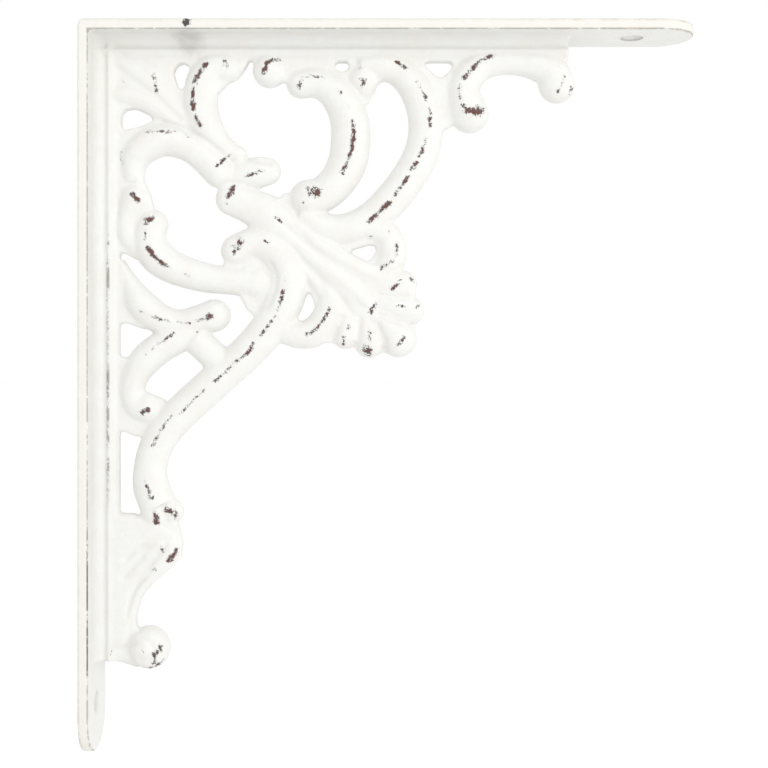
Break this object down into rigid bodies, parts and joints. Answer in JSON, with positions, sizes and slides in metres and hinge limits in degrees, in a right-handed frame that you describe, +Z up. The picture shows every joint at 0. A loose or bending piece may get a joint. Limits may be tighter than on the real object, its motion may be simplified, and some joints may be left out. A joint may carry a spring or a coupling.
{
  "type": "ornate cast iron shelf bracket",
  "caption": "Right-angled cast bracket: flat strap arms for wall and shelf with a rib behind them, and openwork scrolls with an acanthus leaf bracing the corner.",
  "frame": {"origin": "on the wall face at mid-width, 110 mm below the shelf face", "axes": "+X runs out from the wall along the shelf arm, +Z up the wall arm, Y across the strap's width"},
  "size_m": [0.189, 0.023, 0.225],
  "materials": {
    "painted_iron": "satin"
  },
  "bodies": {
    "root": {"shelf_bracket": "painted_iron"}
  },
  "joints": []
}
